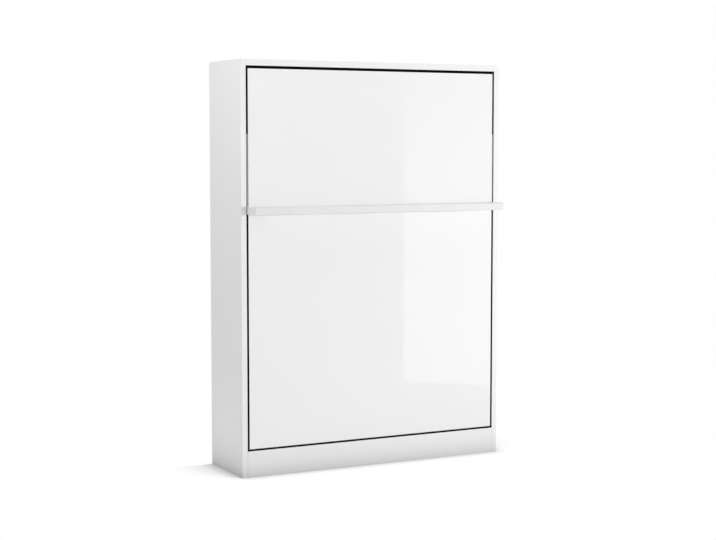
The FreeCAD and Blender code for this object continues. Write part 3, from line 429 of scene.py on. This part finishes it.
def begin(add, name, stretch=(1.0, 1.0, 1.0), **values):
    """A primitive at its size and place, with its place in its mesh."""
    bpy.ops.object.select_all(action="DESELECT")
    add(**values)
    piece = bpy.context.object
    piece.name = name
    piece.data.name = name
    piece.scale = stretch
    bpy.ops.object.transform_apply(location=True, rotation=True, scale=True)
    return piece


def pick(piece, kind, chosen):
    """Edit mode with only the vertices, edges or faces that a test chooses."""
    bpy.ops.object.mode_set(mode="EDIT")
    bpy.ops.mesh.select_mode(type=kind)
    bpy.ops.mesh.select_all(action="DESELECT")
    bpy.ops.object.mode_set(mode="OBJECT")
    mesh = piece.data
    for part in {"VERT": mesh.vertices, "EDGE": mesh.edges, "FACE": mesh.polygons}[kind]:
        part.select = chosen(part)
    bpy.ops.object.mode_set(mode="EDIT")


def modify(piece, kind, **settings):
    """Adds a modifier and applies it."""
    modifier = piece.modifiers.new(kind.lower(), kind)
    for name, value in settings.items():
        setattr(modifier, name, value)
    bpy.ops.object.modifier_apply(modifier=modifier.name)


def finished(piece, finish, slot, *stands_for):
    """Gives a new piece of the bed its finish, puts it on the bed and hides the solids that it
    stands for; its slot is not used.
    """
    piece.data.materials.clear()
    piece.data.materials.append(finish)
    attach(piece, "bed")
    if stands_for:
        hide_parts(*stands_for)


class CoverGrid:
    """Where the sewn lines of the mattress cover run, by the cell that a point lies on."""

    def __init__(self):
        slack = Vector((BORDER_SLACK, FACE_SLACK, BORDER_SLACK))
        self.low = MATTRESS_LOW + slack
        self.high = MATTRESS_HIGH - slack
        self.size = self.high - self.low

    def cell(self, point):
        """Column, border row and row of a point."""
        counts = (COVER_COLUMNS, BORDER_ROWS, COVER_ROWS)
        return [round((point[i] - self.low[i]) / self.size[i] * counts[i]) for i in range(3)]

    def on_face(self, point):
        """Whether a point lies on one of the two faces, rims included."""
        return self.cell(point)[1] in (0, BORDER_ROWS)

    def on_border(self, point):
        """Whether a point lies on the border, rims included."""
        column, _, row = self.cell(point)
        return column in (0, COVER_COLUMNS) or row in (0, COVER_ROWS)

    def sewn(self, point):
        """Whether a point lies on a rim, a diamond line or a border channel's line."""
        column, level, row = self.cell(point)
        if self.on_border(point):
            return level % CHANNEL_ROWS == 0
        return (column + row) % DIAMOND_CELLS == 0 or (column - row) % DIAMOND_CELLS == 0

    def rounded(self, point):
        """The point moved in to the rounded corners of the outline."""
        shares = []
        reach = self.size / 2 - Vector((COVER_CORNER, 0, COVER_CORNER))
        from_middle = point - MATTRESS_MIDDLE
        for i in (0, 2):
            shares.append((abs(from_middle[i]) - reach[i]) / COVER_CORNER)
        across, along = shares
        if min(shares) <= 0:
            return point.copy()
        moved = point.copy()
        across, along = across * math.sqrt(1 - along**2 / 2), along * math.sqrt(1 - across**2 / 2)
        for i, share in ((0, across), (2, along)):
            distance = reach[i] + COVER_CORNER * share
            moved[i] = MATTRESS_MIDDLE[i] + math.copysign(distance, from_middle[i])
        return moved


def cover_shell(grid):
    """The cover before it is filled: two flat faces joined by a border."""
    front = Vector((MATTRESS_MIDDLE.x, grid.low.y, MATTRESS_MIDDLE.z))
    cover = begin(
        bpy.ops.mesh.primitive_grid_add, "mattress_cover", stretch=(grid.size.x, grid.size.z, 1.0),
        x_subdivisions=COVER_COLUMNS, y_subdivisions=COVER_ROWS, size=1.0, location=front,
        rotation=(math.pi / 2, 0, 0),
    )
    bpy.ops.object.mode_set(mode="EDIT")
    bpy.ops.mesh.select_all(action="SELECT")
    bpy.ops.mesh.duplicate_move(TRANSFORM_OT_translate={"value": (0, grid.size.y, 0)})
    bpy.ops.mesh.flip_normals()
    bpy.ops.mesh.select_mode(type="EDGE")
    bpy.ops.mesh.select_all(action="DESELECT")
    bpy.ops.mesh.select_non_manifold(
        extend=False, use_wire=False, use_multi_face=False, use_verts=False
    )
    bpy.ops.mesh.bridge_edge_loops(number_cuts=BORDER_ROWS - 1, interpolation="LINEAR")
    bpy.ops.mesh.select_all(action="SELECT")
    bpy.ops.mesh.normals_make_consistent(inside=False)
    bpy.ops.object.mode_set(mode="OBJECT")
    return cover


def lay_out_ticking(cover):
    """UV map in metres, each face laid flat along its own plane."""
    uv = cover.data.uv_layers.active or cover.data.uv_layers.new(name="ticking")
    for face in cover.data.polygons:
        facing = max(range(3), key=lambda i: abs(face.normal[i]))
        across, up = [i for i in (0, 2, 1) if i != facing]
        for loop in face.loop_indices:
            point = cover.data.vertices[cover.data.loops[loop].vertex_index].co
            uv.data[loop].uv = (point[across], point[up])


def binding(cover, rims):
    """Tape rolled round the two rims of the cover."""
    pick(cover, "EDGE", lambda edge: all(rims[i] for i in edge.vertices))
    bpy.ops.mesh.duplicate()
    bpy.ops.mesh.separate(type="SELECTED")
    bpy.ops.object.mode_set(mode="OBJECT")
    tape = [piece for piece in bpy.context.selected_objects if piece is not cover][0]
    select_only(tape)
    tape.name = "mattress_tape"
    bpy.ops.object.convert(target="CURVE")
    tape.data.bevel_depth = TAPE_RADIUS
    tape.data.bevel_resolution = TAPE_ROUND_STEPS
    bpy.ops.object.convert(target="MESH")
    bpy.ops.object.shade_smooth()
    finished(tape, binding_tape(), "mattress_ticking")


def swell(cover, flat):
    """Fills the cover by cloth simulation.

    Sewn points stay where they are, and the others stay within the cover's slack.
    """
    cloth = cover.modifiers.new("filling", "CLOTH")
    cloth.settings.vertex_group_mass = "sewn"
    cloth.settings.use_pressure = True
    cloth.settings.uniform_pressure_force = COVER_PRESSURE
    cloth.settings.shrink_min = -COVER_EASE
    cloth.settings.effector_weights.gravity = 0.0
    cloth.point_cache.frame_end = SWELL_FRAMES
    for step in range(1, SWELL_FRAMES + 1):
        bpy.context.scene.frame_set(step)
    bpy.ops.object.modifier_apply(modifier=cloth.name)
    bpy.context.scene.frame_set(1)
    for vertex, (start, slack) in zip(cover.data.vertices, flat):
        move = vertex.co - start
        if move.length > 0:
            held = slack * math.tanh(move.length / slack)
            vertex.co = start + move * (held / move.length)


def mattress():
    """Quilted mattress with bound rims."""
    grid = CoverGrid()
    cover = cover_shell(grid)
    vertices = cover.data.vertices
    sewn = [vertex.index for vertex in vertices if grid.sewn(vertex.co)]
    cover.vertex_groups.new(name="sewn").add(sewn, 1.0, "REPLACE")
    rims = [grid.on_face(vertex.co) and grid.on_border(vertex.co) for vertex in vertices]
    slack = [BORDER_SLACK if grid.on_border(vertex.co) else FACE_SLACK for vertex in vertices]
    border = cover.data.attributes.new("border", "FLOAT", "POINT")
    for vertex in vertices:
        on_border, on_face = grid.on_border(vertex.co), grid.on_face(vertex.co)
        border.data[vertex.index].value = (on_border + (not on_face)) / 2
    for vertex in vertices:
        vertex.co = grid.rounded(vertex.co)
    flat = [(vertex.co.copy(), room) for vertex, room in zip(vertices, slack)]
    lay_out_ticking(cover)
    binding(cover, rims)
    select_only(cover)
    swell(cover, flat)
    modify(cover, "SUBSURF", levels=1, render_levels=1)
    bpy.ops.object.shade_smooth()
    finished(cover, FINISHES["mattress_ticking"], "mattress_ticking", "mattress")


def copied(piece, name, shift):
    """Copy of a piece with its own mesh, moved by a shift."""
    select_only(piece)
    bpy.ops.object.duplicate()
    copy = bpy.context.object
    copy.name = name
    bpy.ops.transform.translate(value=shift)
    bpy.ops.object.transform_apply(location=True, rotation=True, scale=True)
    return copy


def strap_band(height):
    """Webbing from tuck to tuck over the mattress's sleeping side, and its length."""
    side = STRAP_HIGH.x - STRAP_ROOM / 2
    over = STRAP_HIGH.y - STRAP_ROOM / 2
    bend = over - STRAP_BEND
    middle = STRAP_LOW.y + STRAP_WIDTH / 2
    band = begin(
        bpy.ops.mesh.primitive_plane_add, "lower_strap", size=STRAP_WIDTH,
        location=(side, middle, height), rotation=(0, math.pi / 2, 0),
    )
    pick(band, "VERT", lambda vertex: vertex.co.y > middle)
    bpy.ops.mesh.delete(type="VERT")
    bpy.ops.mesh.select_all(action="SELECT")
    bpy.ops.mesh.extrude_region_move(TRANSFORM_OT_translate={"value": (0, bend - STRAP_LOW.y, 0)})
    bpy.ops.mesh.spin(
        steps=STRAP_BEND_STEPS, angle=-math.pi / 2, center=(side - STRAP_BEND, bend, height),
        axis=(0, 0, 1),
    )
    bpy.ops.mesh.extrude_region_move(TRANSFORM_OT_translate={"value": (STRAP_BEND - side, 0, 0)})
    bpy.ops.mesh.select_all(action="SELECT")
    bpy.ops.mesh.remove_doubles(threshold=STRAP_WELD)
    bpy.ops.mesh.normals_make_consistent(inside=False)
    bpy.ops.object.mode_set(mode="OBJECT")
    modify(band, "MIRROR", use_axis=(True, False, False), merge_threshold=MIRROR_WELD)
    modify(band, "SOLIDIFY", thickness=STRAP_THICKNESS, offset=0.0)
    bpy.ops.object.shade_smooth_by_angle(angle=SMOOTH_ANGLE)
    return band, 2 * (bend - STRAP_LOW.y + STRAP_BEND * math.pi / 2 + side - STRAP_BEND)


def buckle_plate(height):
    """Flat plastic buckle: a frame with two slots and a bridge between them."""
    half_height = STRAP_WIDTH / 2 + BUCKLE_RIM
    level = (BUCKLE_LOW.y + BUCKLE_HIGH.y) / 2
    plate = begin(
        bpy.ops.mesh.primitive_grid_add, "lower_buckle", x_subdivisions=BUCKLE_COLUMNS,
        y_subdivisions=BUCKLE_ROWS, size=1.0, location=(0, level, height),
        rotation=(math.pi / 2, 0, 0),
    )
    edge = BUCKLE_HIGH.x
    left = [-edge, BUCKLE_RIM - edge, BUCKLE_RIM + BUCKLE_SLOT - edge]
    columns = left + [-x for x in reversed(left)]
    rows = [-half_height, -STRAP_WIDTH / 2, STRAP_WIDTH / 2, half_height]
    for vertex in plate.data.vertices:
        vertex.co.x = columns[round((vertex.co.x + 0.5) * BUCKLE_COLUMNS)]
        vertex.co.z = height + rows[round((vertex.co.z - height + 0.5) * BUCKLE_ROWS)]
    slot_middle = edge - BUCKLE_RIM - BUCKLE_SLOT / 2

    def is_slot(face):
        """Whether a face of the plate lies where a slot goes."""
        in_row = abs(face.center.z - height) < BUCKLE_RIM
        return in_row and abs(abs(face.center.x) - slot_middle) < BUCKLE_RIM / 2

    pick(plate, "FACE", is_slot)
    bpy.ops.mesh.delete(type="FACE")
    bpy.ops.object.mode_set(mode="OBJECT")
    modify(plate, "SOLIDIFY", thickness=BUCKLE_HIGH.y - BUCKLE_LOW.y, offset=0.0)
    modify(plate, "BEVEL", width=BUCKLE_BEVEL, segments=BUCKLE_BEVEL_STEPS, limit_method="ANGLE")
    bpy.ops.object.shade_smooth_by_angle(angle=SMOOTH_ANGLE)
    return plate


def mattress_straps():
    """Two straps, each with its buckle."""
    low = STRAP_LOW.z + STRAP_WIDTH / 2
    shift = (0, 0, STRAP_HIGH.z - STRAP_LOW.z - STRAP_WIDTH)
    band, length = strap_band(low)
    for piece in (band, copied(band, "upper_strap", shift)):
        finished(piece, FINISHES["strap_webbing"], "strap_webbing", "mattress_straps")
    plate = buckle_plate(low)
    for piece in (plate, copied(plate, "upper_buckle", shift)):
        finished(piece, FINISHES["black_plastic"], "black_plastic", "strap_buckles")


def studio_lamp(name, place, target, size, power):
    """Rectangular soft light that faces its target."""
    bpy.ops.object.light_add(type="AREA", location=place)
    lamp = bpy.context.object
    lamp.name = name
    lamp.data.shape = "RECTANGLE"
    lamp.data.size, lamp.data.size_y = size
    lamp.data.energy = power
    lamp.rotation_euler = (Vector(target) - Vector(place)).to_track_quat("-Z", "Y").to_euler()
    lamp.visible_camera = False
    lamp.visible_glossy = False


def seen_directly(tree):
    """Socket that is 1 where the background is seen directly, mirrored or through glass."""
    path = tree.nodes.new("ShaderNodeLightPath")
    seen = path.outputs["Is Camera Ray"]
    for ray in ("Is Glossy Ray", "Is Transmission Ray"):
        either = tree.nodes.new("ShaderNodeMath")
        either.operation = "MAXIMUM"
        tree.links.new(seen, either.inputs[0])
        tree.links.new(path.outputs[ray], either.inputs[1])
        seen = either.outputs[0]
    return seen


def sky():
    """White background that lights the object more gently than it shows."""
    world = bpy.data.worlds.new("studio")
    bpy.context.scene.world = world
    world.use_nodes = True
    tree = world.node_tree
    background = tree.nodes["Background"]
    background.inputs["Color"].default_value = grey(1.0)
    level = tree.nodes.new("ShaderNodeMapRange")
    tree.links.new(seen_directly(tree), level.inputs["Value"])
    level.inputs["To Min"].default_value = SKY_STRENGTH
    level.inputs["To Max"].default_value = 1.0
    tree.links.new(level.outputs["Result"], background.inputs["Strength"])


def floor_finish():
    """White floor, shaded at the object's foot and beneath it.

    Close to the cabinet its colour for thrown light is painted dark, a painted shade on the
    cabinet's foot.
    """
    finish = Finish("studio_floor")
    behind = finish.math("GREATER_THAN", finish.axis("Y"), REAR_PLANE)
    along = finish.span(behind, low=SIDE_SHADE_LEAN["before"], high=SIDE_SHADE_LEAN["behind"])
    lean = finish.add("ShaderNodeCombineXYZ", {"Y": along, "Z": SIDE_SHADE_LEAN["up"]})
    beside = finish.open_sky(**SIDE_SHADE, Normal=lean.outputs[0])
    crease = finish.open_sky(**CREASE_SHADE)
    beneath = finish.open_sky(**OVERHEAD_SHADE)
    shade = finish.math("MULTIPLY", finish.math("MULTIPLY", beside, crease), beneath)
    shown = finish.add("ShaderNodeEmission", {"Color": shade})
    squares = []
    for axis, low, high in (("X", SIDE_LOW.x, -SIDE_LOW.x), ("Y", FRONT_PLANE, REAR_PLANE)):
        offset = finish.math("SUBTRACT", finish.axis(axis), (low + high) / 2)
        outside = finish.math("SUBTRACT", finish.math("ABSOLUTE", offset), (high - low) / 2)
        squares.append(finish.math("POWER", finish.math("MAXIMUM", outside, 0.0), 2.0))
    distance = finish.math("SQRT", finish.math("ADD", *squares))
    # Painted shade: the floor's colour for thrown light is black next to the cabinet and lifts to
    # white further out, which darkens the cabinet's lowest part
    thrown_colour_painted_dark = finish.span(distance, low=0.0, high=FLOOR_WHITE, start=THROW_START, end=THROW_FULL)
    thrown = finish.add("ShaderNodeBsdfDiffuse", {"Color": thrown_colour_painted_dark})
    choice = {0: seen_directly(finish.tree), 1: thrown.outputs[0], 2: shown.outputs[0]}
    finish.surface(finish.add("ShaderNodeMixShader", choice).outputs[0])
    return finish.material


def floor():
    """Plain floor under the object."""
    bpy.ops.mesh.primitive_plane_add(size=FLOOR_SIZE)
    plane = bpy.context.object
    plane.name = "studio_floor"
    plane.data.materials.append(floor_finish())


def card_finish():
    """Bright softbox face that fades towards its top."""
    finish = Finish("softbox_face")
    fade_start = CARD_HEIGHT * CARD_FADE_SHARE
    strength = finish.span(finish.axis("Z"), CARD_STRENGTH, 1.0, fade_start, CARD_HEIGHT)
    finish.surface(finish.add("ShaderNodeEmission", {"Strength": strength}).outputs[0])
    return finish.material


def softbox_card():
    """Upright softbox at the front right, there only for the gloss front to mirror."""
    left, right = Vector((*CARD_FOOT_LEFT, 0)), Vector((*CARD_FOOT_RIGHT, 0))
    middle = (left + right) / 2
    run = right - left
    bpy.ops.mesh.primitive_plane_add(size=1.0)
    card = bpy.context.object
    card.name = "softbox_card"
    card.scale = (run.length, CARD_HEIGHT, 1.0)
    card.rotation_euler = (math.pi / 2, 0, math.atan2(run.y, run.x))
    card.location = (middle.x, middle.y, CARD_HEIGHT / 2)
    bpy.ops.object.transform_apply(location=True, rotation=True, scale=True)
    card.data.materials.append(card_finish())
    card.visible_camera = False
    card.visible_diffuse = False
    card.visible_transmission = False
    card.visible_shadow = False


def camera():
    """The photograph's viewpoint."""
    bpy.ops.object.camera_add(location=CAMERA_PLACE)
    view = bpy.context.object
    view.rotation_euler = (math.radians(CAMERA_TILT), 0, math.radians(CAMERA_TURN))
    view.data.lens = CAMERA_LENS
    view.data.sensor_width = CAMERA_SENSOR
    bpy.context.scene.camera = view


FINISHES = {
    "white_board": white_board(),
    "white_hardboard": white_hardboard(),
    "white_plastic": moulded_plastic(
        "white_plastic", dark=0.80, thrown_colour_painted_dark=0.84, smooth=0.38, rough=0.5
    ),
    "gloss_front": gloss_front(),
    "white_powder_coat": white_powder_coat(),
    # Painted shade: the edging's own colour is black, and it is made near-black and dull, below
    # real black plastic, so that the narrow gaps where it shows read as deep shade
    "black_edging": moulded_plastic(
        "black_edging", dark=0.003, thrown_colour_painted_dark=0.006, smooth=0.7, rough=0.85, specular=0.1
    ),
    "black_plastic": moulded_plastic(
        "black_plastic", dark=0.014, thrown_colour_painted_dark=0.022, smooth=0.35, rough=0.55
    ),
    "rubber": moulded_plastic(
        "rubber", dark=0.018, thrown_colour_painted_dark=0.03, smooth=0.6, rough=0.85, grain=500.0
    ),
    "zinc_steel": zinc_steel(),
    "bright_steel": turned_steel("bright_steel", tone=0.68, smooth=0.2, rough=0.34),
    "chrome": turned_steel("chrome", tone=0.78, smooth=0.04, rough=0.09),
    "black_enamel": black_enamel(),
    "pine": timber("pine", "Z", PINE_EARLY, PINE_LATE, ring_width=0.006, pore_depth=0.00006),
    "beech_slat": timber(
        "beech_slat", "X", BEECH_EARLY, BEECH_LATE, ring_width=0.0015, pore_depth=0.00004
    ),
    "mattress_ticking": mattress_ticking(),
    "strap_webbing": strap_webbing(),
}


def finish_nodes():
    """Every piece of the frame gets the finish of its material slot."""
    for row in frame["record"]["subparts"]:
        node = frame["nodes"][row["node"]]
        node.material_slots[0].material = FINISHES[row["material_slot"]]


finish_nodes()
mattress()
mattress_straps()
sky()
floor()
softbox_card()
for lamp_name, (place, target, size, power) in LAMPS.items():
    studio_lamp(lamp_name, place, target, size, power)
camera()
bpy.context.scene.view_settings.view_transform = "Standard"
